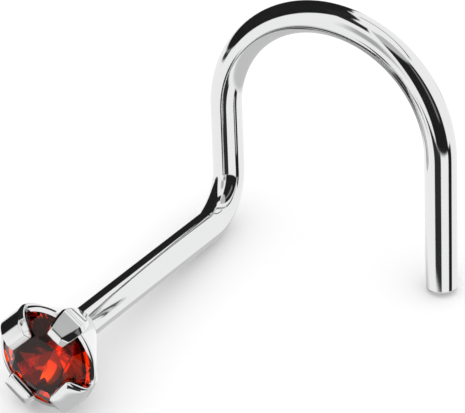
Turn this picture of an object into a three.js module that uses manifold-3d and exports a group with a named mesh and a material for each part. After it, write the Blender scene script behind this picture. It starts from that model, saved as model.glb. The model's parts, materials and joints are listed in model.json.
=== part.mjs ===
// A nose stud of polished steel: one round wire, bent into a straight post, an open half-turn
// curl and a straight tail, with a round brilliant stone in a four-claw setting on the post's end.
// Millimetres, +Z up. The stud lies on a flat surface as it settles there by itself. The origin is
// on that surface, under the middle of the stud's box, and the post points along +Y.

import * as THREE from "three";
import { ConvexGeometry } from "three/addons/geometries/ConvexGeometry.js";
import { mergeVertices } from "three/addons/utils/BufferGeometryUtils.js";
import Module from "manifold-3d";

// The wire
const wireDiameter = 0.8;
const postLength = 7.1; // from the back of the setting to the middle of the wire in the curl
const bendRadius = 1.2; // at the middle of the wire, as the radii below
const legLength = 1.68; // the straight between the bend and the curl
const curlRiseRadius = 2.9;
const curlFallRadius = 3.1;
const tailLength = 3.5;
const tailEdge = 0.07; // how far the tail's end is drawn in all round
const wireRoot = 0.2; // length of wire sunk into the setting's base

// The stone, a round brilliant
const stoneDiameter = 2.5;
const tableDiameter = 1.38;
const crownHeight = 0.35;
const girdleThickness = 0.06;
const pavilionDepth = 1.07;
const starReach = 0.5; // share of the way from the table's edge to the girdle
const lowerHalfReach = 0.78; // share of the way from the girdle to the culet
const stoneClearance = 0.02; // between the stone and its seat

// The setting
const settingDepth = 1.45; // from its back to the middle of the stone's girdle
const cupDiameter = 2.46;
const cupRim = 0.11; // how far the cup's rim stands behind the middle of the girdle
const cupWall = 0.11; // height of the cup's straight wall
const cupBulge = 0.04; // how far the cup's bowl swells past a straight cone
const backDiameter = 1.06; // flat ring round the post, at the back of the setting
const backEdge = 0.02;
const stoneBesidePost = 0.11; // the stone's axis lies off the post's, on the curl's side of it
const stoneBelowPost = 0.055; // as far off it again, on the side away from the leg

// The claws
const clawOuterRadius = 1.4;
const clawReach = 0.7; // from the stone's axis to a claw's tip
const clawTipThickness = 0.08;
const clawTopRadius = 1.12; // from the stone's axis to the fold between a claw's top and its shoulder
const clawTopThickness = 0.24;
const clawShoulder = 0.14; // height of the shoulder's foot in front of the girdle
const clawFoot = 0.8; // how far a claw runs down the cup behind the girdle
const clawWidth = 0.8;
const clawTipWidth = 0.6;
const clawFootWidth = 0.42;
const clawEdge = 0.09; // bevel along a claw's sides

// Each claw is set by hand: its turn round the stone in degrees from the curl's side, and its
// reach, outer radius, width and tip as shares of clawReach, clawOuterRadius, clawWidth and
// clawTipWidth.
const claws = [
  { turn: 45, reach: 1.0, outer: 1.0, width: 1.2, tip: 1.15 },
  { turn: 128, reach: 1.3, outer: 1.04, width: 1.06, tip: 1.3 },
  { turn: 228, reach: 0.9, outer: 0.98, width: 1.15, tip: 1.3 },
  { turn: 299, reach: 1.05, outer: 1.0, width: 0.98, tip: 0.9 },
];

// Weights, in grams per cubic millimetre
const steelDensity = 0.0079;
const stoneDensity = 0.0058;

// How finely round forms are cut into facets
const wireSides = 20;
const wireStep = 0.22;
const cupSides = 48;
const weldDistance = 1e-4;
const touchDistance = 1e-5;

const wireRadius = wireDiameter / 2;
const stoneRadius = stoneDiameter / 2;
const tableRadius = tableDiameter / 2;
const quarterTurn = Math.PI / 2;
const girdlePlane = -settingDepth;
const crownSlope = crownHeight / (stoneRadius - tableRadius);

const wasm = await Module();
wasm.setup();

function solidFrom(geometry) {
  const bare = geometry.index ? geometry.toNonIndexed() : geometry.clone();
  bare.deleteAttribute("normal");
  bare.deleteAttribute("uv");
  const merged = mergeVertices(bare, weldDistance);
  return new wasm.Manifold(
    new wasm.Mesh({
      numProp: 3,
      vertProperties: merged.attributes.position.array,
      triVerts: new Uint32Array(merged.index.array),
    }),
  );
}

function geometryFrom(solid) {
  const mesh = solid.getMesh();
  const geometry = new THREE.BufferGeometry();
  geometry.setAttribute("position", new THREE.BufferAttribute(mesh.vertProperties, 3));
  geometry.setIndex(new THREE.BufferAttribute(mesh.triVerts, 1));
  const flat = geometry.toNonIndexed();
  flat.computeVertexNormals();
  return flat;
}

// Part of a circle in space, from one direction at its centre towards another
class Arc extends THREE.Curve {
  constructor(centre, from, towards, radius, sweep) {
    super();
    Object.assign(this, { centre, from, towards, radius, sweep });
  }

  getPoint(share, target = new THREE.Vector3()) {
    const angle = share * this.sweep;
    return target
      .copy(this.centre)
      .addScaledVector(this.from, this.radius * Math.cos(angle))
      .addScaledVector(this.towards, this.radius * Math.sin(angle));
  }
}

// The wire's middle line. Here the post points along +Y from the back of the setting at y = 0, the
// leg rises along +Z, the curl turns over towards +X and the tail comes down along -Z.
function wireRoute() {
  const along = new THREE.Vector3(0, 1, 0);
  const across = new THREE.Vector3(1, 0, 0);
  const up = new THREE.Vector3(0, 0, 1);
  const bendStart = postLength - bendRadius;
  const legTop = bendRadius + legLength;
  const fallMiddle = legTop + curlRiseRadius - curlFallRadius;
  const tailSide = curlRiseRadius + curlFallRadius;
  const point = (x, y, z) => new THREE.Vector3(x, y, z);
  const line = (start, end) => new THREE.LineCurve3(start, end);
  const quarter = (centre, from, towards, radius) =>
    new Arc(centre, from, towards, radius, quarterTurn);

  const route = new THREE.CurvePath();
  route.add(line(point(0, -wireRoot, 0), point(0, bendStart, 0)));
  route.add(quarter(point(0, bendStart, bendRadius), up.clone().negate(), along, bendRadius));
  route.add(line(point(0, postLength, bendRadius), point(0, postLength, legTop)));
  route.add(
    quarter(point(curlRiseRadius, postLength, legTop), across.clone().negate(), up, curlRiseRadius),
  );
  route.add(quarter(point(curlRiseRadius, postLength, fallMiddle), up, across, curlFallRadius));
  route.add(
    line(point(tailSide, postLength, fallMiddle), point(tailSide, postLength, fallMiddle - tailLength)),
  );
  return route;
}

// Draws the last ring of the wire in towards its middle, as a tumbled end is.
function roundTailEnd(geometry, end) {
  const position = geometry.attributes.position;
  const vertex = new THREE.Vector3();
  for (let i = 0; i < position.count; i++) {
    vertex.fromBufferAttribute(position, i);
    const fromMiddle = vertex.distanceTo(end);
    const isEndRing = Math.abs(vertex.z - end.z) < touchDistance && fromMiddle < wireDiameter;
    if (isEndRing && fromMiddle > touchDistance) {
      vertex.lerp(end, tailEdge / wireRadius);
      position.setXYZ(i, vertex.x, vertex.y, vertex.z);
    }
  }
}

function wire() {
  const section = new THREE.Shape();
  section.absarc(0, 0, wireRadius, 0, 2 * Math.PI);
  const route = wireRoute();
  const geometry = new THREE.ExtrudeGeometry(section, {
    extrudePath: route,
    steps: Math.round(route.getLength() / wireStep),
    curveSegments: wireSides / 2, // for each half of the section's circle
  });
  roundTailEnd(geometry, route.getPoint(1));
  return solidFrom(geometry);
}

// Shifts each level of the cup, from nothing at its back to the stone's own offset at the girdle
function leanToStone(geometry) {
  const sideways = stoneBesidePost / girdlePlane;
  const downwards = -stoneBelowPost / girdlePlane;
  geometry.applyMatrix4(new THREE.Matrix4().makeShear(0, 0, sideways, downwards, 0, 0));
}

// The cup's profile rises from its rim to its back, out from the axis and in to it again.
function cup() {
  const radius = cupDiameter / 2;
  const backRadius = backDiameter / 2;
  const rim = girdlePlane + cupRim;
  const wallEnd = rim + cupWall;
  const bowlStart = new THREE.Vector2(radius, wallEnd);
  const bowlEnd = new THREE.Vector2(backRadius, -backEdge);
  const swell = bowlStart.clone().lerp(bowlEnd, 0.5);
  swell.x += 2 * cupBulge;
  const bowl = new THREE.QuadraticBezierCurve(bowlStart, swell, bowlEnd);
  const bowlSteps = 6;
  const profile = [
    new THREE.Vector2(0, rim),
    new THREE.Vector2(radius, rim),
    ...bowl.getPoints(bowlSteps),
    new THREE.Vector2(backRadius - backEdge, 0),
    new THREE.Vector2(0, 0),
  ];
  const geometry = new THREE.LatheGeometry(profile, cupSides);
  leanToStone(geometry);
  return solidFrom(geometry);
}

// Height of the stone's crown in front of the girdle's middle, at this distance from the axis
function crownAt(radius) {
  return girdleThickness / 2 + (stoneRadius - radius) * crownSlope;
}

// Moves what is modelled round the post's axis to the stone's
function ontoStone(geometry) {
  geometry.translate(stoneBesidePost, 0, -stoneBelowPost);
  return geometry;
}

// One claw: its side outline, extruded over its width with bevelled edges, then narrowed to its
// tip and its foot. Its inner side is left full, because the stone's seat is cut out of the
// setting afterwards.
function claw({ turn, reach, outer, width, tip }) {
  const tipRadius = clawReach * reach;
  const outerRadius = clawOuterRadius * outer;
  const baseWidth = clawWidth * width;
  const tipWidth = clawTipWidth * tip;
  const topHeight = crownAt(clawTopRadius) + clawTopThickness;
  const outline = new THREE.Shape([
    new THREE.Vector2(tipRadius, -clawFoot),
    new THREE.Vector2(clawTopRadius, -clawFoot),
    new THREE.Vector2(outerRadius - clawEdge, -clawFoot / 2),
    new THREE.Vector2(outerRadius, 0),
    new THREE.Vector2(outerRadius, clawShoulder),
    new THREE.Vector2(clawTopRadius, topHeight),
    new THREE.Vector2(tipRadius, crownAt(tipRadius) + clawTipThickness),
  ]);
  const geometry = new THREE.ExtrudeGeometry(outline, {
    depth: baseWidth - 2 * clawEdge,
    bevelThickness: clawEdge,
    bevelSize: clawEdge,
    bevelOffset: -clawEdge,
    bevelSegments: 2,
  });
  geometry.translate(0, 0, clawEdge - baseWidth / 2);

  const position = geometry.attributes.position;
  for (let i = 0; i < position.count; i++) {
    const toTip = (outerRadius - position.getX(i)) / (outerRadius - tipRadius);
    const toFoot = Math.max(0, -position.getY(i) / clawFoot);
    const above = THREE.MathUtils.lerp(baseWidth, tipWidth, toTip);
    const narrowed = THREE.MathUtils.lerp(above, Math.min(above, clawFootWidth), toFoot);
    position.setZ(i, (position.getZ(i) * narrowed) / baseWidth);
  }
  geometry.rotateX(Math.PI);
  geometry.translate(0, girdlePlane, 0);
  geometry.rotateY(THREE.MathUtils.degToRad(turn));
  return solidFrom(ontoStone(geometry));
}

// The space that the stone needs, grown by its clearance all round and open to the front
function seat() {
  const radius = stoneRadius + stoneClearance;
  const halfGirdle = girdleThickness / 2 + stoneClearance;
  const culet = girdlePlane + girdleThickness / 2 + pavilionDepth;
  const culetClearance = (stoneClearance * Math.hypot(stoneRadius, pavilionDepth)) / stoneRadius;
  const table = girdlePlane - girdleThickness / 2 - crownHeight;
  const profile = [
    new THREE.Vector2(0, table - stoneClearance),
    new THREE.Vector2(tableRadius + stoneClearance, table - stoneClearance),
    new THREE.Vector2(radius, girdlePlane - halfGirdle),
    new THREE.Vector2(radius, girdlePlane + halfGirdle),
    new THREE.Vector2(0, culet + culetClearance),
  ];
  return solidFrom(ontoStone(new THREE.LatheGeometry(profile, cupSides)));
}

// The crown's kite facets and the pavilion's main facets each lie in one plane, so the points
// where they meet the star and half facets follow from the crown's and pavilion's slopes.
function stone() {
  const folds = 8;
  const halfFold = Math.PI / folds;
  const pavilionSlope = pavilionDepth / stoneRadius;
  const flatShare = Math.cos(halfFold);
  const starRadius = THREE.MathUtils.lerp(tableRadius * flatShare, stoneRadius, starReach);
  const lowerRadius = stoneRadius * (1 - lowerHalfReach);
  const halfGirdle = girdleThickness / 2;
  const starHeight = crownAt(starRadius * flatShare);
  const lowerDepth = halfGirdle + (stoneRadius - lowerRadius * flatShare) * pavilionSlope;
  const points = [new THREE.Vector3(0, girdlePlane + halfGirdle + pavilionDepth, 0)];
  const ring = (radius, height, start, count) => {
    for (let i = 0; i < count; i++) {
      const angle = start + (i * 2 * Math.PI) / count;
      const x = radius * Math.cos(angle);
      points.push(new THREE.Vector3(x, girdlePlane - height, radius * Math.sin(angle)));
    }
  };
  ring(tableRadius, halfGirdle + crownHeight, 0, folds);
  ring(starRadius, starHeight, halfFold, folds);
  ring(stoneRadius, halfGirdle, 0, 2 * folds);
  ring(stoneRadius, -halfGirdle, 0, 2 * folds);
  ring(lowerRadius, -lowerDepth, halfFold, folds);
  return solidFrom(ontoStone(new ConvexGeometry(points)));
}

function wireAndSetting() {
  let setting = cup();
  for (const each of claws) setting = setting.add(claw(each));
  return setting.subtract(seat()).add(wire());
}

// Volume and centre of gravity of a closed mesh, from the cones of its triangles to the origin
function weigh(geometry) {
  const position = geometry.attributes.position;
  const corners = [new THREE.Vector3(), new THREE.Vector3(), new THREE.Vector3()];
  const centre = new THREE.Vector3();
  let volume = 0;
  for (let i = 0; i < position.count; i += 3) {
    corners.forEach((corner, k) => corner.fromBufferAttribute(position, i + k));
    const [a, b, c] = corners;
    const cone = a.dot(b.clone().cross(c)) / 6;
    volume += cone;
    corners.forEach((corner) => centre.addScaledVector(corner, cone / 4));
  }
  return { volume, centre: centre.divideScalar(volume) };
}

// Tips the points over an axis through pivot until the next one touches the surface. up turns
// away from lean, which is level and points to the side that goes down.
function tipOver(points, pivot, up, lean) {
  let least = Infinity;
  let touching = null;
  for (const point of points) {
    const arm = point.clone().sub(pivot);
    const reach = arm.dot(lean);
    const angle = Math.atan2(arm.dot(up), reach);
    if (reach > touchDistance && angle < least && point !== pivot) {
      least = angle;
      touching = point;
    }
  }
  up.multiplyScalar(Math.cos(least)).addScaledVector(lean, -Math.sin(least)).normalize();
  return touching;
}

// The level direction square to the line from a to b, on the side where the weight is
function leanOver(a, b, weight, up) {
  const lean = b.clone().sub(a).cross(up).normalize();
  return lean.dot(weight.clone().sub(a)) < 0 ? lean.negate() : lean;
}

// The direction that points up once the stud has settled: it is set down the way up that start
// says, tips over its lowest point, and then over one edge after another, until its weight is
// within the three points that it stands on.
function settle(points, weight, start) {
  const up = start.clone().normalize();
  const height = (point) => point.dot(up);
  let a = points.reduce((low, point) => (height(point) < height(low) ? point : low));
  const level = weight.clone().sub(a).projectOnPlane(up).normalize();
  let b = tipOver(points, a, up, level);
  const mostTips = 12;
  for (let tip = 0; tip < mostTips; tip++) {
    const lean = leanOver(a, b, weight, up);
    const c = tipOver(points, a, up, lean);
    const edges = [
      [b, c, a],
      [c, a, b],
    ];
    const passed = edges.find(([from, to, opposite]) => {
      const out = leanOver(from, to, opposite, up).negate();
      return out.dot(weight.clone().sub(from)) > 0;
    });
    if (!passed) break;
    [a, b] = passed;
  }
  return up;
}

const metalGeometry = geometryFrom(wireAndSetting());
const stoneGeometry = geometryFrom(stone());
const weights = [
  { ...weigh(metalGeometry), density: steelDensity },
  { ...weigh(stoneGeometry), density: stoneDensity },
];
const mass = weights.reduce((sum, each) => sum + each.volume * each.density, 0);
const weight = new THREE.Vector3();
for (const { volume, centre, density } of weights) {
  weight.addScaledVector(centre, (volume * density) / mass);
}

const corners = [];
for (let i = 0; i < metalGeometry.attributes.position.count; i++) {
  corners.push(new THREE.Vector3().fromBufferAttribute(metalGeometry.attributes.position, i));
}
const up = settle(corners, weight, new THREE.Vector3(0.15, -0.1, 1));
const forward = new THREE.Vector3(0, 1, 0).projectOnPlane(up).normalize();
const side = forward.clone().cross(up);
const turn = new THREE.Matrix4().makeBasis(side, forward, up).transpose();

const box = new THREE.Box3().setFromPoints(corners.map((corner) => corner.applyMatrix4(turn)));
const middle = box.getCenter(new THREE.Vector3());
const place = new THREE.Matrix4().makeTranslation(-middle.x, -middle.y, -box.min.z).multiply(turn);

const steel = new THREE.MeshStandardMaterial({ color: 0xc8cacc, metalness: 1, roughness: 0.12 });
const redStone = new THREE.MeshStandardMaterial({ color: 0x9a1a0a, metalness: 0, roughness: 0.03 });

function named(name, geometry, material) {
  const mesh = new THREE.Mesh(geometry, material);
  mesh.name = name;
  return mesh;
}

const noseStud = new THREE.Group();
noseStud.add(named("wire_and_setting", metalGeometry, steel));
noseStud.add(named("stone", stoneGeometry, redStone));
noseStud.applyMatrix4(place);

export default noseStud;
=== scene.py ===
"""A nose stud of polished steel with a round red stone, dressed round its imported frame."""

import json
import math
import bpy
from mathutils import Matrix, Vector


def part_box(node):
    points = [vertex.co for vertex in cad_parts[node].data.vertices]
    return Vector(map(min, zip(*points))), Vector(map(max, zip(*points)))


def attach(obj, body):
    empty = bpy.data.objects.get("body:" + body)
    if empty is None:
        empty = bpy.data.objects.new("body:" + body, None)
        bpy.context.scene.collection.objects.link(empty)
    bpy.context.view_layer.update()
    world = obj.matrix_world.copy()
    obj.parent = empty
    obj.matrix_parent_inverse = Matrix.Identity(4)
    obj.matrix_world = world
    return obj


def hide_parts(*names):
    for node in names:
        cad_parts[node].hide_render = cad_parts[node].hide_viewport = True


bl_info = {
    "name": "Nose Stud",
    "version": (1, 0, 0),
    "blender": (4, 5, 0),
    "location": "View3D > Sidebar > Nose Stud",
    "description": "Models a nose stud: bent wire, setting cup, claws and a round brilliant stone",
    "category": "Add Mesh",
}

import bpy
from mathutils import Matrix, Vector

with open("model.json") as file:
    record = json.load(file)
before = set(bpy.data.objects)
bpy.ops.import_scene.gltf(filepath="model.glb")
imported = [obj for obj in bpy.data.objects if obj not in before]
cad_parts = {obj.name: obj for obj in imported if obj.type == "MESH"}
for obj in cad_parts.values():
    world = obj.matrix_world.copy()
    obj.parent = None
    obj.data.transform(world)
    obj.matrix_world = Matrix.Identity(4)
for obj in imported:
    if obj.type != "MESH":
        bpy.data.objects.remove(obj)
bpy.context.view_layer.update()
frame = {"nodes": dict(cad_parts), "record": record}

MM = 0.001
TAU = 2 * math.pi
METAL = "wire_and_setting"
STONE = "stone"

# In millimetres: how near two heights are that count as the same, and how near a CAD face lies to
# its own mount. Then the cosine above which two directions count as the same, and the one below
# which they count as square to each other
NEAR = 0.001
ON_MOUNT = 0.01
SAME_WAY = 0.9999
SQUARE = 0.001


def length(name, description, millimetres):
    """A length property, kept in metres as Blender keeps it"""
    return bpy.props.FloatProperty(
        name=name, description=description, default=millimetres * MM, unit="LENGTH", precision=6
    )


def share(name, description, default):
    """A plain share from 0 to 1"""
    return bpy.props.FloatProperty(
        name=name, description=description, default=default, min=0.0, max=1.0, subtype="FACTOR"
    )


def colour(name, description, default):
    """A colour that the user can pick"""
    return bpy.props.FloatVectorProperty(
        name=name,
        description=description,
        default=default,
        size=3,
        min=0.0,
        max=1.0,
        subtype="COLOR",
    )


class WireSizes(bpy.types.PropertyGroup):
    """The bent wire"""

    diameter: length("Diameter", "Thickness of the wire", 0.8)
    post: length("Post", "From the setting's back to the middle of the wire in the curl", 7.1)
    root: length("Root", "Wire inside the setting", 0.2)
    bend: length("Bend", "Radius of the tight bend, at the wire's middle", 1.2)
    leg: length("Leg", "Straight between the bend and the curl", 1.68)
    rise: length("Rise", "Radius of the curl's first quarter", 2.9)
    fall: length("Fall", "Radius of the curl's second quarter", 3.1)
    tail: length("Tail", "Straight stretch down to the end", 3.5)
    end_edge: length("End edge", "Rounding of the wire's cut end", 0.07)


class StoneSizes(bpy.types.PropertyGroup):
    """The round brilliant stone"""

    diameter: length("Diameter", "Across the girdle", 2.5)
    table: length("Table", "Across the table's corners", 1.38)
    crown: length("Crown", "Height from the girdle to the table", 0.35)
    girdle: length("Girdle", "Thickness of the girdle", 0.06)
    pavilion: length("Pavilion", "Depth from the girdle to the culet", 1.07)
    culet: length("Culet", "Height that the culet's facet takes off the point", 0.012)
    star: share("Star", "Reach of the star facets towards the girdle", 0.5)
    lower: share("Lower halves", "Reach of the lower half facets towards the culet", 0.78)


class SettingSizes(bpy.types.PropertyGroup):
    """The cup and its claws"""

    depth: length("Depth", "From the cup's back to the middle of the girdle", 1.45)
    cup: length("Cup", "Across the cup's rim", 2.64)
    rim: length("Rim", "Height of the cup's rim from its lip to its wall", 0.09)
    wall: length("Wall", "Height of the cup's straight wall", 0.1)
    bulge: length("Bulge", "How far the bowl swells past a cone", 0.01)
    back: length("Back", "Across the flat ring round the post", 1.06)
    lip: length("Lip", "How far the cup's rim reaches over the girdle", 0.05)
    clearance: length("Clearance", "Between the stone and the metal", 0.006)
    beside: length("Beside", "How far the stone's axis lies beside the post's", 0.11)
    below: length("Below", "How far the stone's axis lies below the post's", 0.055)
    claw_outer: length("Claw outer radius", "From the stone's axis to a claw's back", 1.4)
    claw_reach: length("Claw reach", "From the stone's axis to a claw's tip", 0.7)
    claw_fold: length("Claw fold", "From the stone's axis to the fold behind a claw's panel", 1.12)
    claw_tip_height: length("Claw tip height", "Thickness of a claw at its tip", 0.09)
    claw_front: length("Claw front", "Length of the flat at a claw's tip", 0.17)
    claw_edge_height: length("Claw edge height", "Thickness where the front flat meets the panel", 0.2)
    claw_fold_height: length("Claw fold height", "Thickness of a claw at its fold", 0.25)
    claw_shoulder: length("Claw shoulder", "Foot of the shoulder in front of the girdle", 0.12)
    claw_foot: length("Claw foot", "How far a claw runs down the cup", 0.9)
    claw_width: length("Claw width", "Across a claw at the girdle", 0.8)
    claw_tip_width: length("Claw tip width", "Across a claw's tip", 0.6)
    claw_foot_width: length("Claw foot width", "Across a claw's foot", 0.42)
    claw_flat: length("Claw flat", "Width of the flat along each side of the panel", 0.12)


class Finish(bpy.types.PropertyGroup):
    """Colours and polish"""

    steel: colour("Steel", "Colour of the polished steel", (0.8, 0.802, 0.805))
    stone: colour("Stone", "What a millimetre of stone leaves of white light", (0.95, 0.3, 0.07))
    bending: bpy.props.FloatProperty(
        name="Refraction", description="Refractive index of the stone", default=1.76, min=1.0, max=3.0
    )
    # The seat's colour is darker than the steel's: painted shade under the stone
    seat: colour("Seat", "Colour of the dull metal under the stone", (0.42, 0.33, 0.3))
    floor: colour("Floor", "Colour of the floor", (0.92, 0.92, 0.92))
    lens: bpy.props.FloatProperty(
        name="Lens", description="Focal length of the camera", default=261.2, min=1.0, unit="CAMERA"
    )


def mm(value):
    """A length in millimetres, the unit that pieces are modelled in before they are placed"""
    return value / MM


def deselect():
    """Leaves edit mode, with nothing selected"""
    if bpy.context.object and bpy.context.object.mode != "OBJECT":
        bpy.ops.object.mode_set(mode="OBJECT")
    bpy.ops.object.select_all(action="DESELECT")


def new_piece(name):
    """Names the primitive that was just added, and opens it in edit mode"""
    piece = bpy.context.object
    piece.name = name
    piece.data.name = name
    bpy.ops.object.mode_set(mode="EDIT")
    bpy.ops.mesh.select_mode(type="VERT")
    bpy.ops.mesh.select_all(action="SELECT")
    return piece


def pick(test):
    """Selects the vertices of the piece in edit mode that pass the test, and the edges and faces
    between them"""
    bpy.ops.mesh.select_mode(type="VERT")
    bpy.ops.mesh.select_all(action="DESELECT")
    bpy.ops.object.mode_set(mode="OBJECT")
    for vertex in bpy.context.object.data.vertices:
        vertex.select = bool(test(vertex.co))
    bpy.ops.object.mode_set(mode="EDIT")
    bpy.ops.mesh.select_mode(type="VERT")


def pick_edges(test):
    """Selects the edges of the piece in edit mode whose two ends pass the test together"""
    bpy.ops.mesh.select_mode(type="EDGE")
    bpy.ops.mesh.select_all(action="DESELECT")
    bpy.ops.object.mode_set(mode="OBJECT")
    mesh = bpy.context.object.data
    for edge in mesh.edges:
        a, b = (mesh.vertices[i].co for i in edge.vertices)
        edge.select = bool(test(a, b))
    bpy.ops.object.mode_set(mode="EDIT")


def push(offset):
    """Extrudes what is selected along the offset"""
    bpy.ops.mesh.extrude_region_move(TRANSFORM_OT_translate={"value": offset})


def draw(points):
    """Draws a line through the points of the x-z plane, from a plane merged to one vertex"""
    bpy.ops.mesh.merge(type="CENTER")
    last = points[0]
    bpy.ops.transform.translate(value=(last[0], 0, last[1]))
    for point in points[1:]:
        push((point[0] - last[0], 0, point[1] - last[1]))
        last = point


def close_up(distance=1e-4):
    """Merges doubled vertices and makes neighbouring faces point to the same side"""
    bpy.ops.mesh.select_all(action="SELECT")
    bpy.ops.mesh.remove_doubles(threshold=distance)
    bpy.ops.mesh.normals_make_consistent(inside=False)


def turn_outwards(piece):
    """Turns all faces of a closed piece round if its volume is negative, as it is when they point
    inwards"""
    mesh = piece.data
    mesh.calc_loop_triangles()
    volume = 0.0
    for each in mesh.loop_triangles:
        a, b, c = (mesh.vertices[i].co for i in each.vertices)
        volume += a.dot(b.cross(c))
    if volume < 0:
        bpy.ops.object.mode_set(mode="EDIT")
        bpy.ops.mesh.select_all(action="SELECT")
        bpy.ops.mesh.flip_normals()
        bpy.ops.object.mode_set(mode="OBJECT")


def finish_shape(piece, matrix, smooth_angle):
    """Leaves edit mode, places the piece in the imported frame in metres, turns its faces outwards,
    shades it and gives it to the root body"""
    bpy.ops.object.mode_set(mode="OBJECT")
    piece.data.transform(Matrix.Scale(MM, 4) @ matrix)
    turn_outwards(piece)
    bpy.ops.object.shade_smooth_by_angle(angle=smooth_angle)
    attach(piece, "root")


def triangles(node):
    """Middle, normal and area of each triangle of a CAD node, in millimetres"""
    mesh = frame["nodes"][node].data
    mesh.calc_loop_triangles()
    for each in mesh.loop_triangles:
        a, b, c = (mesh.vertices[i].co / MM for i in each.vertices)
        normal = (b - a).cross(c - a)
        area = normal.length / 2
        if area > 0:
            yield (a + b + c) / 3, normal.normalized(), area


def flat_middle(node, direction, belongs):
    """Middle of the flat face that looks along the direction and whose triangles belong to it"""
    total, middle = 0.0, Vector()
    for centre, normal, area in triangles(node):
        if normal.dot(direction) > SAME_WAY and belongs(centre):
            total += area
            middle += centre * area
    if not total:
        raise RuntimeError(f"{node} has no flat face along {tuple(direction)}")
    return middle / total


def stud_matrix():
    """From the drawing's axes to the frame's, in millimetres. In the drawing the post runs along +Y
    from the back of the setting, the leg rises along +Z and the curl turns over towards +X."""
    mount = next(each for each in frame["record"]["mounts"] if each["name"] == "back_seat")
    along = Vector(mount["axis"]).normalized()
    seat = Vector(mount["pos_m"]) / MM
    origin = flat_middle(METAL, along, lambda centre: abs((centre - seat).dot(along)) < ON_MOUNT)

    # The tail's flat end looks straight down: of the low faces on its side, it faces down the most
    high = mm(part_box(METAL)[1])
    low_faces = [
        normal
        for centre, normal, _ in triangles(METAL)
        if centre.x > high.x / 2 and centre.z < high.z / 4 and abs(normal.dot(along)) < SQUARE
    ]
    up = -min(low_faces, key=lambda normal: normal.z)
    across = along.cross(up)
    matrix = Matrix((across, along, up)).transposed().to_4x4()
    matrix.translation = origin
    return matrix


STUD = stud_matrix()


def onto_stone(setting):
    """From axes round the stone, with z in front of the girdle's middle, to the drawing's"""
    turn = Matrix(((1, 0, 0), (0, 0, -1), (0, 1, 0))).to_4x4()
    place = Matrix.Translation((mm(setting.beside), -mm(setting.depth), -mm(setting.below)))
    return place @ turn


def crown_slope(sizes):
    """How much the stone's crown rises for each millimetre towards the axis"""
    return mm(sizes.crown) / (mm(sizes.diameter) / 2 - mm(sizes.table) / 2)


def facets(sizes):
    """Three points of each facet's plane, round the stone's axis with z in front of the girdle"""
    folds = 8
    radius, table = mm(sizes.diameter) / 2, mm(sizes.table) / 2
    crown, pavilion = mm(sizes.crown), mm(sizes.pavilion)
    half_girdle = mm(sizes.girdle) / 2
    fold = TAU / folds
    flat = math.cos(fold / 2)
    star = table * flat + (radius - table * flat) * sizes.star
    star_height = half_girdle + (radius - star * flat) * crown_slope(sizes)
    lower = radius * (1 - sizes.lower)
    lower_height = -half_girdle - (radius - lower * flat) * pavilion / radius
    top = half_girdle + crown
    bottom = -half_girdle - pavilion

    def at(distance, angle, height):
        return Vector((distance * math.cos(angle), distance * math.sin(angle), height))

    for height in (top, bottom + mm(sizes.culet)):
        yield at(table, 0, height), at(table, fold, height), at(table, 2 * fold, height)
    for step in range(folds):
        angle = step * fold
        middle = angle + fold / 2
        side = at(1, angle + TAU / 4, 0)
        upper, under = at(radius, angle, half_girdle), at(radius, angle, -half_girdle)
        star_point = at(star, middle, star_height)
        yield upper, at(table, angle, top), upper + side
        yield at(table, angle, top), at(table, angle + fold, top), star_point
        yield under, Vector((0, 0, bottom)), under + side
        for near in (angle, angle + fold):
            yield at(radius, near, half_girdle), at(radius, middle, half_girdle), star_point
            yield (
                at(radius, near, -half_girdle),
                at(radius, middle, -half_girdle),
                at(lower, middle, lower_height),
            )


def outward(a, b, c):
    """Normal of the plane through three points, away from the stone's middle"""
    normal = (b - a).cross(c - a).normalized()
    return -normal if normal.dot(a) < 0 else normal


class STUD_OT_wire(bpy.types.Operator):
    """Bends the wire: post, tight bend, leg, curl and tail, with a rounded cut end"""

    bl_idname = "stud.wire"
    bl_label = "Wire"

    sides = 96
    bend_steps = 28
    curl_steps = 44
    edge_segments = 4

    def turn(self, centre, axis, steps):
        bpy.ops.mesh.spin(steps=steps, angle=-TAU / 4, center=centre, axis=axis)

    def execute(self, context):
        sizes = context.scene.stud_wire
        radius = mm(sizes.diameter) / 2
        post, bend, leg = mm(sizes.post), mm(sizes.bend), mm(sizes.leg)
        rise, fall, tail = mm(sizes.rise), mm(sizes.fall), mm(sizes.tail)
        leg_top = bend + leg
        fall_middle = leg_top + rise - fall
        deselect()
        bpy.ops.mesh.primitive_circle_add(
            vertices=self.sides,
            radius=radius,
            location=(0, -mm(sizes.root), 0),
            rotation=(TAU / 4, 0, 0),
        )
        bpy.ops.object.transform_apply()
        piece = new_piece("wire")
        push((0, post - bend + mm(sizes.root), 0))
        self.turn((0, post - bend, bend), (1, 0, 0), self.bend_steps)
        push((0, 0, leg))
        self.turn((rise, post, leg_top), (0, 1, 0), self.curl_steps)
        self.turn((rise, post, fall_middle), (0, 1, 0), self.curl_steps)
        push((0, 0, -tail))
        bpy.ops.mesh.edge_face_add()
        pick(lambda co: co.y < 0)
        bpy.ops.mesh.edge_face_add()
        end = fall_middle - tail
        pick(lambda co: co.x > rise and co.z < end + NEAR)
        bpy.ops.mesh.bevel(
            offset=mm(sizes.end_edge), segments=self.edge_segments, affect="EDGES"
        )
        close_up()
        finish_shape(piece, STUD, smooth_angle=math.radians(40))
        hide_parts(METAL)
        piece.data.materials.append(steel_material(context.scene.stud_finish))
        return {"FINISHED"}


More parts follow.
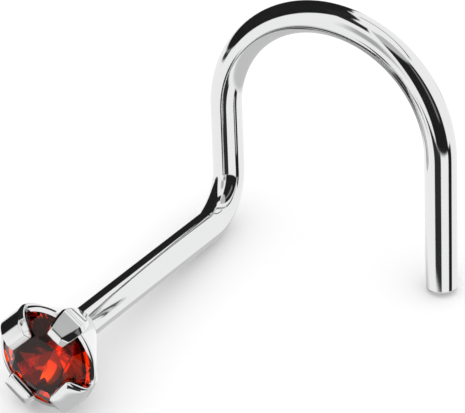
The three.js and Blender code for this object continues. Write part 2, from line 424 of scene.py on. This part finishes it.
class STUD_OT_cup(bpy.types.Operator):
    """Turns the shallow cup that carries the stone, with the stone's seat inside"""

    bl_idname = "stud.cup"
    bl_label = "Setting cup"

    steps = 128
    bowl_steps = 8

    # In millimetres: the lip's thickness and how far its edge slants outwards, two points of the
    # rim's round, each as how far in from the rim and how far behind the lip's front, how far the
    # wall draws in, and the chamfer of the ring round the post
    lip_thickness = 0.02
    lip_slant = 0.008
    rim_round = ((0.03, 0.02), (0.008, 0.035))
    wall_draft = 0.05
    ring_edge = 0.02

    def execute(self, context):
        setting, stone = context.scene.stud_setting, context.scene.stud_stone
        radius, back = mm(setting.cup) / 2, mm(setting.back) / 2
        clearance = mm(setting.clearance)
        seat = mm(stone.diameter) / 2 + clearance
        half_girdle = mm(stone.girdle) / 2
        girdle = -half_girdle - clearance
        bottom = girdle - mm(stone.pavilion) * seat / (seat - clearance)
        lip = seat - mm(setting.lip)
        lip_low = half_girdle + mm(setting.lip) * crown_slope(stone) + clearance
        lip_top = lip_low + self.lip_thickness
        edge = lip_top - mm(setting.rim)
        wall_end = edge - mm(setting.wall)
        foot = -mm(setting.depth)
        start = Vector((radius - self.wall_draft, wall_end))
        end = Vector((back, foot + self.ring_edge))
        swell = (start + end) / 2 + Vector((2 * mm(setting.bulge), 0))
        profile = [
            (0, bottom),
            (seat, girdle),
            (seat, half_girdle + clearance),
            (lip, lip_low),
            (lip + self.lip_slant, lip_top),
            *((radius - inwards, lip_top - behind) for inwards, behind in self.rim_round),
            (radius, edge),
        ]
        for step in range(self.bowl_steps + 1):
            t = step / self.bowl_steps
            profile.append(tuple(start * (1 - t) ** 2 + swell * 2 * t * (1 - t) + end * t * t))
        profile.append((back - self.ring_edge, foot))
        profile.append((0, foot))
        deselect()
        bpy.ops.mesh.primitive_plane_add()
        piece = new_piece("setting_cup")
        draw(profile)
        bpy.ops.mesh.select_all(action="SELECT")
        bpy.ops.mesh.spin(steps=self.steps, angle=TAU, center=(0, 0, 0), axis=(0, 0, 1))
        close_up()
        bpy.ops.object.mode_set(mode="OBJECT")
        # Faces of the seat under the girdle take the second material, darkened with painted shade
        for face in piece.data.polygons:
            within = math.hypot(face.center.x, face.center.y) < seat
            under_girdle = bottom < face.center.z < girdle
            face.material_index = int(within and under_girdle and face.normal.z > 0)

        # The cup leans from the post's axis at its back to the stone's at its girdle
        depth = mm(setting.depth)
        offset = Vector((-mm(setting.beside), mm(setting.below), 0))
        for vertex in piece.data.vertices:
            vertex.co += offset * min(1, -vertex.co.z / depth)
        finish_shape(piece, STUD @ onto_stone(setting), smooth_angle=math.radians(30))
        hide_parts(METAL)
        piece.data.materials.append(steel_material(context.scene.stud_finish))
        piece.data.materials.append(painted_shade_seat_material(context.scene.stud_finish))
        return {"FINISHED"}


class STUD_OT_claws(bpy.types.Operator):
    """Shapes the four claws over the stone's crown. A claw is a slab that climbs the cup and folds
    over the girdle, with a panel on its back and flats on both sides of it and at its tip"""

    bl_idname = "stud.claws"
    bl_label = "Claws"

    # One row for each claw. Turn goes round the stone from the curl's side and skew turns the claw
    # about its fold, both in degrees. Ridge is how high its side ridges stand, as a share of its
    # thickness, crisp how sharp its edges stay, and round how far its back follows the cup. Ahead
    # and behind are shares of the side flats, ahead on the side that the turn goes to. Nose, edge
    # and top are shares of its thickness at its tip, front edge and fold, and tip of its tip's
    # width. Reach, outer, fold, width, front and shoulder are shares of the sizes of their names
    claws = (
        {"turn": 45, "skew": -5, "reach": 1.0, "outer": 0.985, "fold": 1.12, "width": 1.42,
         "tip": 1.25, "nose": 0.7, "front": 0.6, "edge": 0.95, "top": 1.3, "shoulder": 1.6,
         "ahead": 0.2, "behind": 0.2, "ridge": 0.5, "crisp": 0.05, "round": 1.0},
        {"turn": 128, "skew": 2, "reach": 1.2, "outer": 1.05, "fold": 1.15, "width": 1.05,
         "tip": 1.3, "nose": 0.4, "front": 0.62, "edge": 1.0, "top": 1.4, "shoulder": 1.46,
         "ahead": 0.3, "behind": 0.3, "ridge": 0.45, "crisp": 0.25, "round": 0.5},
        {"turn": 228, "skew": 0, "reach": 0.86, "outer": 0.97, "fold": 0.965, "width": 1.1,
         "tip": 1.3, "nose": 0.25, "front": 1.1, "edge": 0.9, "top": 1.11, "shoulder": 1.8,
         "ahead": 1.2, "behind": 0.3, "ridge": 0.5, "crisp": 0.5, "round": 0.0},
        {"turn": 303, "skew": 4, "reach": 1.2, "outer": 1.03, "fold": 1.14, "width": 0.9,
         "tip": 0.85, "nose": 1.2, "front": 1.4, "edge": 1.4, "top": 0.62, "shoulder": 0.2,
         "ahead": 1.6, "behind": 0.7, "ridge": 0.6, "crisp": 0.5, "round": 0.0},
    )
    corners = 8
    smoothing = 4

    # How sharp the inner edges and the tip's edge stay, as shares of a claw's crispness
    inner_crisp = 0.7
    tip_crisp = 0.8

    # Every claw's places in millimetres. The foot's two sides lie so far from the stone's axis, draw
    # in by so much halfway down, and turn upright so far behind the girdle's middle. The back draws
    # in at the shoulder, the inner side at the fold, and the tip leans out
    foot_inner, foot_outer = 0.75, 0.95
    half_inner, half_outer = 0.2, 0.13
    upright_inner, upright_outer = 0.08, 0.1
    shoulder_draw, fold_draw = 0.03, 0.02
    tip_lean = 0.01

    # Shares of a claw's width: what it has at its fold, and what its inner side has
    fold_width = 0.97
    inner_width = 0.94

    def sections(self, setting, stone, claw):
        """The crown's height at a distance from the axis, and cross-sections from the foot to the
        tip. Each has an inner and an outer point, as distance from the stone's axis and height in
        front of the girdle's middle, its width, and its share of the side flats. An inner point
        without a height lies on the crown"""
        radius = mm(stone.diameter) / 2
        half_girdle = mm(stone.girdle) / 2
        gap = mm(setting.clearance)
        outer = mm(setting.claw_outer) * claw["outer"]
        tip = mm(setting.claw_reach) * claw["reach"]
        fold = mm(setting.claw_fold) * claw["fold"]
        foot = mm(setting.claw_foot)
        width = mm(setting.claw_width) * claw["width"]
        tip_width = mm(setting.claw_tip_width) * claw["tip"]
        foot_width = mm(setting.claw_foot_width)
        edge = tip + mm(setting.claw_front) * claw["front"]
        wall = radius + gap

        def crown(distance):
            return half_girdle + (radius - min(distance, radius)) * crown_slope(stone) + gap

        edge_top = crown(edge) + mm(setting.claw_edge_height) * claw["edge"]
        fold_top = crown(fold) + mm(setting.claw_fold_height) * claw["top"]
        shoulder = mm(setting.claw_shoulder) * claw["shoulder"]
        tip_height = mm(setting.claw_tip_height) * claw["nose"]
        return crown, [
            {"inner": (self.foot_inner, -foot), "outer": (self.foot_outer, -foot),
             "width": foot_width, "flat": 0.4},
            {"inner": (wall - self.half_inner, -foot / 2),
             "outer": (outer - self.half_outer, -foot / 2),
             "width": (width + foot_width) / 2, "flat": 0.5},
            {"inner": (wall, -self.upright_inner), "outer": (outer, -self.upright_outer),
             "width": width, "flat": 0.6},
            {"inner": (wall, half_girdle), "outer": (outer - self.shoulder_draw, shoulder),
             "width": width, "flat": 0.7},
            {"inner": (min(fold, wall) - self.fold_draw, None), "outer": (fold, fold_top),
             "width": width * self.fold_width, "flat": 0.8},
            {"inner": (edge, None), "outer": (edge, edge_top),
             "width": (width + tip_width) / 2, "flat": 1.0},
            {"inner": (tip, None), "outer": (tip + self.tip_lean, crown(tip) + tip_height),
             "width": tip_width, "flat": 0.5},
        ]

    def corner_place(self, number, section, claw, crown, flat):
        """Where one of a section's eight corners lies: 0 and 4 are the middles of the panel and of
        the inner face, 1 and 7 the panel's edges, 2 and 6 the ridges and 3 and 5 the inner edges"""
        half = section["width"] / 2
        side = (0, 1, 1, 1, 0, -1, -1, -1)[number]
        inner, outer = section["inner"], section["outer"]
        base = crown(inner[0]) if inner[1] is None else inner[1]
        across = half
        rise = 0.0
        if number in (0, 1, 7):
            rise = 1.0
            side_flat = claw["behind"] if side > 0 else claw["ahead"]
            across = half - flat * side_flat * section["flat"]
        elif number in (2, 6):
            rise = claw["ridge"]
        elif number in (3, 5):
            across = half * self.inner_width
        y = side * across
        x = inner[0] + (outer[0] - inner[0]) * rise
        z = base + (outer[1] - base) * rise
        if rise == 0 and inner[1] is None:
            return Vector((x, y, crown(math.hypot(x, y))))
        if inner[1] is not None:
            follow = claw["round"] if rise else 1.0
            on_circle = math.sqrt(max(0.0, x * x - y * y))
            x += (on_circle - x) * follow
        return Vector((x, y, z))

    def clear_stone(self, piece, turn, setting, stone):
        """Moves what would reach into the stone out to its nearest facet or to the girdle"""
        gap = mm(setting.clearance)
        wall = mm(stone.diameter) / 2 + gap
        planes = [(a, outward(a, b, c)) for a, b, c in facets(stone)]
        back = turn.inverted()
        for vertex in piece.data.vertices:
            place = turn @ vertex.co
            past_wall = math.hypot(place.x, place.y) - wall
            if past_wall >= 0:
                continue
            past, normal = max(
                (((place - point).dot(normal) - gap, normal) for point, normal in planes),
                key=lambda each: each[0],
            )
            if past >= 0:
                continue
            if past_wall > past:
                past, normal = past_wall, Vector((place.x, place.y, 0)).normalized()
            vertex.co = back @ (place - normal * past)

    def execute(self, context):
        setting, stone = context.scene.stud_setting, context.scene.stud_stone
        finish = steel_material(context.scene.stud_finish)
        step = TAU / self.corners

        def corner(co):
            return round(math.atan2(co.y, co.x) / step) % self.corners

        def lengthways(a, b, corners):
            return corner(a) == corner(b) and corner(a) in corners

        def around(a, b, levels):
            return round(a.z) == round(b.z) and round(a.z) in levels

        def crease(value, test):
            pick_edges(test)
            bpy.ops.transform.edge_crease(value=value)

        for number, claw in enumerate(self.claws, 1):
            crown, sections = self.sections(setting, stone, claw)
            last = len(sections) - 1
            deselect()
            bpy.ops.mesh.primitive_circle_add(vertices=self.corners, radius=1, fill_type="NGON")
            piece = new_piece(f"claw_{number}")
            for _ in range(last):
                push((0, 0, 1))
            crisp = claw["crisp"]
            crease(crisp, lambda a, b: lengthways(a, b, (1, 2, 6, 7)))
            crease(crisp * self.inner_crisp, lambda a, b: lengthways(a, b, (3, 5)))
            crease(crisp, lambda a, b: around(a, b, (last - 2, last - 1)))
            crease(crisp * self.tip_crisp, lambda a, b: around(a, b, (last,)))
            bpy.ops.object.mode_set(mode="OBJECT")
            for vertex in piece.data.vertices:
                section = sections[round(vertex.co.z)]
                vertex.co = self.corner_place(
                    corner(vertex.co), section, claw, crown, mm(setting.claw_flat)
                )
            bpy.ops.object.mode_set(mode="EDIT")
            close_up()
            bpy.ops.object.mode_set(mode="OBJECT")
            bpy.ops.object.modifier_add(type="SUBSURF")
            piece.modifiers["Subdivision"].levels = self.smoothing
            piece.modifiers["Subdivision"].render_levels = self.smoothing
            bpy.ops.object.modifier_apply(modifier="Subdivision")
            turn = Matrix.Rotation(-math.radians(claw["turn"]), 4, "Z")
            shoulder = Matrix.Translation((mm(setting.claw_fold), 0, 0))
            skew = Matrix.Rotation(-math.radians(claw["skew"]), 4, "Z")
            turn = turn @ shoulder @ skew @ shoulder.inverted()
            self.clear_stone(piece, turn, setting, stone)
            finish_shape(
                piece, STUD @ onto_stone(setting) @ turn, smooth_angle=math.radians(60)
            )
            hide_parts(METAL)
            piece.data.materials.append(finish)
        return {"FINISHED"}


class STUD_OT_stone(bpy.types.Operator):
    """Cuts the round brilliant from a cylinder, one flat facet after another"""

    bl_idname = "stud.stone"
    bl_label = "Stone"

    sides = 128

    def execute(self, context):
        sizes, setting = context.scene.stud_stone, context.scene.stud_setting
        deselect()
        bpy.ops.mesh.primitive_cylinder_add(
            vertices=self.sides,
            radius=mm(sizes.diameter) / 2,
            depth=4 * (mm(sizes.crown) + mm(sizes.pavilion)),
        )
        piece = new_piece("brilliant")
        for a, b, c in facets(sizes):
            bpy.ops.mesh.select_all(action="SELECT")
            bpy.ops.mesh.bisect(
                plane_co=a, plane_no=outward(a, b, c), use_fill=True, clear_outer=True, threshold=1e-6
            )
        close_up(distance=1e-5)
        finish_shape(piece, STUD @ onto_stone(setting), smooth_angle=math.radians(4))
        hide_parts(STONE)
        piece.data.materials.append(stone_material(context.scene.stud_finish))
        return {"FINISHED"}


def node_maker(tree):
    """A function that adds a node, sets its plain inputs and links its linked ones"""

    def add(kind, inputs=None, **settings):
        node = tree.nodes.new(kind)
        for key, value in settings.items():
            setattr(node, key, value)
        for key, value in (inputs or {}).items():
            if isinstance(value, bpy.types.NodeSocket):
                tree.links.new(value, node.inputs[key])
            else:
                node.inputs[key].default_value = value
        return node

    return add


def new_material(name):
    """An empty material with an output, and its node maker"""
    material = bpy.data.materials.new(name)
    material.use_nodes = True
    material.node_tree.nodes.clear()
    return material, node_maker(material.node_tree)


def roughness(add, noise, low, high, start=0.3, stop=0.7):
    """Roughness that goes from low to high as the noise goes from start to stop"""
    return add(
        "ShaderNodeMapRange",
        {
            "Value": noise.outputs["Fac"],
            "From Min": start,
            "From Max": stop,
            "To Min": low,
            "To Max": high,
        },
    ).outputs["Result"]


def mottled(add, noise, tone, darkest):
    """A tone that the noise darkens, down to the darkest share of it"""
    return add(
        "ShaderNodeMix",
        {
            "Factor": noise.outputs["Fac"],
            "A": (*(darkest * part for part in tone), 1.0),
            "B": (*tone, 1.0),
        },
        data_type="RGBA",
    ).outputs["Result"]


def metal(add, tone, rough, relief):
    """Puts a metal surface with this tone, roughness and relief on the material"""
    shader = add(
        "ShaderNodeBsdfPrincipled",
        {
            "Base Color": tone,
            "Metallic": 1.0,
            "Roughness": rough,
            "Normal": relief.outputs["Normal"],
        },
    )
    add("ShaderNodeOutputMaterial", {"Surface": shader.outputs["BSDF"]})


def steel_material(finish):
    """Mirror-polished steel: a faint cloud in the polish, hair lines and a slight waviness"""
    name = "mirror_steel"
    found = bpy.data.materials.get(name)
    if found:
        return found
    material, add = new_material(name)
    place = add("ShaderNodeTexCoord").outputs["Object"]
    cloud = add("ShaderNodeTexNoise", {"Vector": place, "Scale": 1100.0, "Detail": 3.0})
    waves = add("ShaderNodeTexNoise", {"Vector": place, "Scale": 900.0, "Detail": 1.0})
    stretched = add("ShaderNodeMapping", {"Vector": place, "Scale": (9000.0, 1200.0, 9000.0)})
    hair = add(
        "ShaderNodeTexNoise", {"Vector": stretched.outputs["Vector"], "Scale": 4.0, "Detail": 2.0}
    )
    wavy = add(
        "ShaderNodeBump", {"Height": waves.outputs["Fac"], "Strength": 1.0, "Distance": 0.0000015}
    )
    lined = add(
        "ShaderNodeBump",
        {
            "Height": hair.outputs["Fac"],
            "Strength": 0.15,
            "Distance": 0.000001,
            "Normal": wavy.outputs["Normal"],
        },
    )
    tone = mottled(add, cloud, finish.steel, darkest=0.96)
    metal(add, tone, roughness(add, cloud, low=0.03, high=0.075), lined)
    return material


def painted_shade_seat_material(finish):
    """The dull metal of the closed seat under the stone, darkened with painted shade, with a fine
    grain
    """
    material, add = new_material("seat_painted_shade")
    place = add("ShaderNodeTexCoord").outputs["Object"]
    grain = add("ShaderNodeTexNoise", {"Vector": place, "Scale": 4000.0, "Detail": 3.0})
    relief = add(
        "ShaderNodeBump", {"Height": grain.outputs["Fac"], "Strength": 0.2, "Distance": 0.0000005}
    )
    # The seat's tone is painted shade on the steel, mottled by the grain
    tone = mottled(add, grain, finish.seat, darkest=0.7)
    metal(add, tone, roughness(add, grain, low=0.06, high=0.12), relief)
    return material


def stone_material(finish):
    """Clear red stone. Of white light, each millimetre of it leaves the finish's stone colour"""
    material, add = new_material("clear_red_stone")
    place = add("ShaderNodeTexCoord").outputs["Object"]
    silk = add("ShaderNodeTexNoise", {"Vector": place, "Scale": 2500.0, "Detail": 4.0})
    shader = add(
        "ShaderNodeBsdfPrincipled",
        {
            "Base Color": (1.0, 0.9, 0.86, 1.0),
            "Roughness": roughness(add, silk, low=0.0, high=0.004, start=0.5, stop=0.8),
            "IOR": finish.bending,
            "Transmission Weight": 1.0,
            "Specular Tint": (0.4, 0.3, 0.27, 1.0),
        },
    )
    darkest = 0.001
    taken = [-math.log(max(part, darkest)) / MM for part in finish.stone]
    kept = [1 - part / max(taken) for part in taken]
    tint = add("ShaderNodeVolumeAbsorption", {"Color": (*kept, 1.0), "Density": max(taken)})
    add(
        "ShaderNodeOutputMaterial",
        {"Surface": shader.outputs["BSDF"], "Volume": tint.outputs["Volume"]},
    )
    return material


class STUD_OT_stage(bpy.types.Operator):
    """Sets the pale floor, the soft light round the stud and the camera"""

    bl_idname = "stud.stage"
    bl_label = "Stage"

    # The camera in the drawing's axes, its place and its sensor's width in millimetres
    eye = (40.027, -58.159, 37.663)
    look = (-0.4688, 0.7656, -0.4409)
    upward = (-0.1977, 0.3952, 0.8969)
    sensor = 36

    # In metres: the floor's radius, and how far the camera sees
    floor_radius = 0.6
    sight = 10

    # How bright the light is: behind the stud, on the floor, and white as the steel reflects it.
    # What shines through the stone is so many times brighter than what the steel reflects, and is
    # mixed with a share of plain light
    backdrop = 1.0
    room = 1.5
    white = 1.3
    through = 4.2
    fill = 0.16

    # Black flags and grey cards round the white light, as polished metal and the stone see them:
    # bearing from +Y towards +X and height above the level, both from and to in degrees, how light
    # they are beside the white, and how wide their soft edge is. A later card covers an earlier one
    cards = (
        {"bearing": (-180, 180), "height": (-90, -40), "light": 0.62, "edge": 8},
        {"bearing": (-140, -60), "height": (-64, -40), "light": 0.35, "edge": 8},
        {"bearing": (-132, -24), "height": (-9, 76), "light": 0.015, "edge": 3},
        {"bearing": (-30, -19), "height": (-10, 40), "light": 0.015, "edge": 2},
        {"bearing": (-180, -35), "height": (60, 80), "light": 0.02, "edge": 5},
        {"bearing": (-15, 60), "height": (48, 52), "light": 0.1, "edge": 2},
        {"bearing": (5, 11), "height": (-16, -10), "light": 0.5, "edge": 5},
        {"bearing": (93, 167), "height": (-10, 56), "light": 0.015, "edge": 3},
        {"bearing": (110, 120), "height": (12, 50), "light": 0.2, "edge": 6},
        {"bearing": (93, 167), "height": (54, 80), "light": 0.55, "edge": 8},
        {"bearing": (75, 100), "height": (-38, -8), "light": 0.015, "edge": 3},
        {"bearing": (150, 192), "height": (-30, -10), "light": 0.03, "edge": 3},
        {"bearing": (-126, -100), "height": (-13, -9), "light": 0.03, "edge": 2},
        {"bearing": (-180, -160), "height": (8, 36), "light": 0.45, "edge": 12},
    )

    def world(self):
        """Lights the stud from all round, with cards that only reflected and refracted rays see"""
        world = bpy.data.worlds.new("studio")
        bpy.context.scene.world = world
        world.use_nodes = True
        world.node_tree.nodes.clear()
        add = node_maker(world.node_tree)

        def math_node(operation, *values):
            return add(
                "ShaderNodeMath", dict(enumerate(values)), operation=operation
            ).outputs["Value"]

        way = add("ShaderNodeSeparateXYZ", {"Vector": add("ShaderNodeTexCoord").outputs["Generated"]})
        bearing = math_node("ARCTAN2", way.outputs["X"], way.outputs["Y"])
        height = math_node("ARCSINE", way.outputs["Z"])

        def within(angle, low, high, edge):
            """1 between two angles and 0 outside, with a soft edge"""
            middle, half = math.radians((low + high) / 2), math.radians((high - low) / 2)
            away = math_node("SUBTRACT", angle, middle)
            away = math_node("ABSOLUTE", math_node("WRAP", away, math.pi, -math.pi))
            soft = math.radians(edge) / 2
            return add(
                "ShaderNodeMapRange",
                {
                    "Value": away,
                    "From Min": half - soft,
                    "From Max": half + soft,
                    "To Min": 1.0,
                    "To Max": 0.0,
                },
                interpolation_type="SMOOTHSTEP",
            ).outputs["Result"]

        light = self.white
        for card in self.cards:
            mask = within(height, *card["height"], card["edge"])
            if card["bearing"] != (-180, 180):
                mask = math_node("MULTIPLY", mask, within(bearing, *card["bearing"], card["edge"]))
            light = add(
                "ShaderNodeMix", {"Factor": mask, "A": light, "B": card["light"] * self.white}
            ).outputs["Result"]
        ray = add("ShaderNodeLightPath")
        inner = math_node(
            "MULTIPLY_ADD", light, self.through * (1 - self.fill), self.through * self.fill
        )
        light = add(
            "ShaderNodeMix", {"Factor": ray.outputs["Is Transmission Ray"], "A": light, "B": inner}
        ).outputs["Result"]
        light = add(
            "ShaderNodeMix", {"Factor": ray.outputs["Is Glossy Ray"], "A": self.room, "B": light}
        ).outputs["Result"]
        light = add(
            "ShaderNodeMix",
            {"Factor": ray.outputs["Is Camera Ray"], "A": light, "B": self.backdrop},
        ).outputs["Result"]
        back = add("ShaderNodeBackground", {"Strength": light})
        add("ShaderNodeOutputWorld", {"Surface": back.outputs["Background"]})

    def execute(self, context):
        scene = context.scene
        finish = scene.stud_finish
        scene.view_settings.view_transform = "Standard"
        self.world()

        deselect()
        bpy.ops.mesh.primitive_circle_add(vertices=96, radius=self.floor_radius, fill_type="NGON")
        floor = bpy.context.object
        floor.name = "floor"
        material, add = new_material("floor")
        shader = add("ShaderNodeBsdfDiffuse", {"Color": (*finish.floor, 1.0)})
        add("ShaderNodeOutputMaterial", {"Surface": shader.outputs["BSDF"]})
        floor.data.materials.append(material)
        floor.visible_glossy = False

        frame_turn = STUD.to_3x3()
        back = -(frame_turn @ Vector(self.look)).normalized()
        right = (frame_turn @ Vector(self.upward)).cross(back).normalized()
        turn = Matrix((right, back.cross(right), back)).transposed()
        place = STUD @ Vector(self.eye) * MM
        bpy.ops.object.camera_add(location=place, rotation=turn.to_euler())
        camera = bpy.context.object
        camera.data.lens = finish.lens
        camera.data.sensor_width = self.sensor
        camera.data.clip_start = 1 * MM
        camera.data.clip_end = self.sight
        scene.camera = camera
        return {"FINISHED"}


class STUD_PT_panel(bpy.types.Panel):
    """Lists the stud's pieces and sizes"""

    bl_idname = "STUD_PT_panel"
    bl_label = "Nose Stud"
    bl_space_type = "VIEW_3D"
    bl_region_type = "UI"
    bl_category = "Nose Stud"

    def draw(self, context):
        for operator in OPERATORS:
            self.layout.operator(operator.bl_idname)
        for name in GROUPS:
            box = self.layout.box()
            group = getattr(context.scene, name)
            for key in group.bl_rna.properties.keys():
                if key not in ("rna_type", "name"):
                    box.prop(group, key)


GROUPS = {
    "stud_wire": WireSizes,
    "stud_stone": StoneSizes,
    "stud_setting": SettingSizes,
    "stud_finish": Finish,
}
OPERATORS = (STUD_OT_wire, STUD_OT_cup, STUD_OT_claws, STUD_OT_stone, STUD_OT_stage)
CLASSES = (*GROUPS.values(), *OPERATORS, STUD_PT_panel)


def register():
    for each in CLASSES:
        bpy.utils.register_class(each)
    for name, group in GROUPS.items():
        setattr(bpy.types.Scene, name, bpy.props.PointerProperty(type=group))


def unregister():
    for name in GROUPS:
        delattr(bpy.types.Scene, name)
    for each in reversed(CLASSES):
        bpy.utils.unregister_class(each)


def main():
    register()
    bpy.ops.stud.wire()
    bpy.ops.stud.cup()
    bpy.ops.stud.claws()
    bpy.ops.stud.stone()
    bpy.ops.stud.stage()


if __name__ == "__main__":
    main()
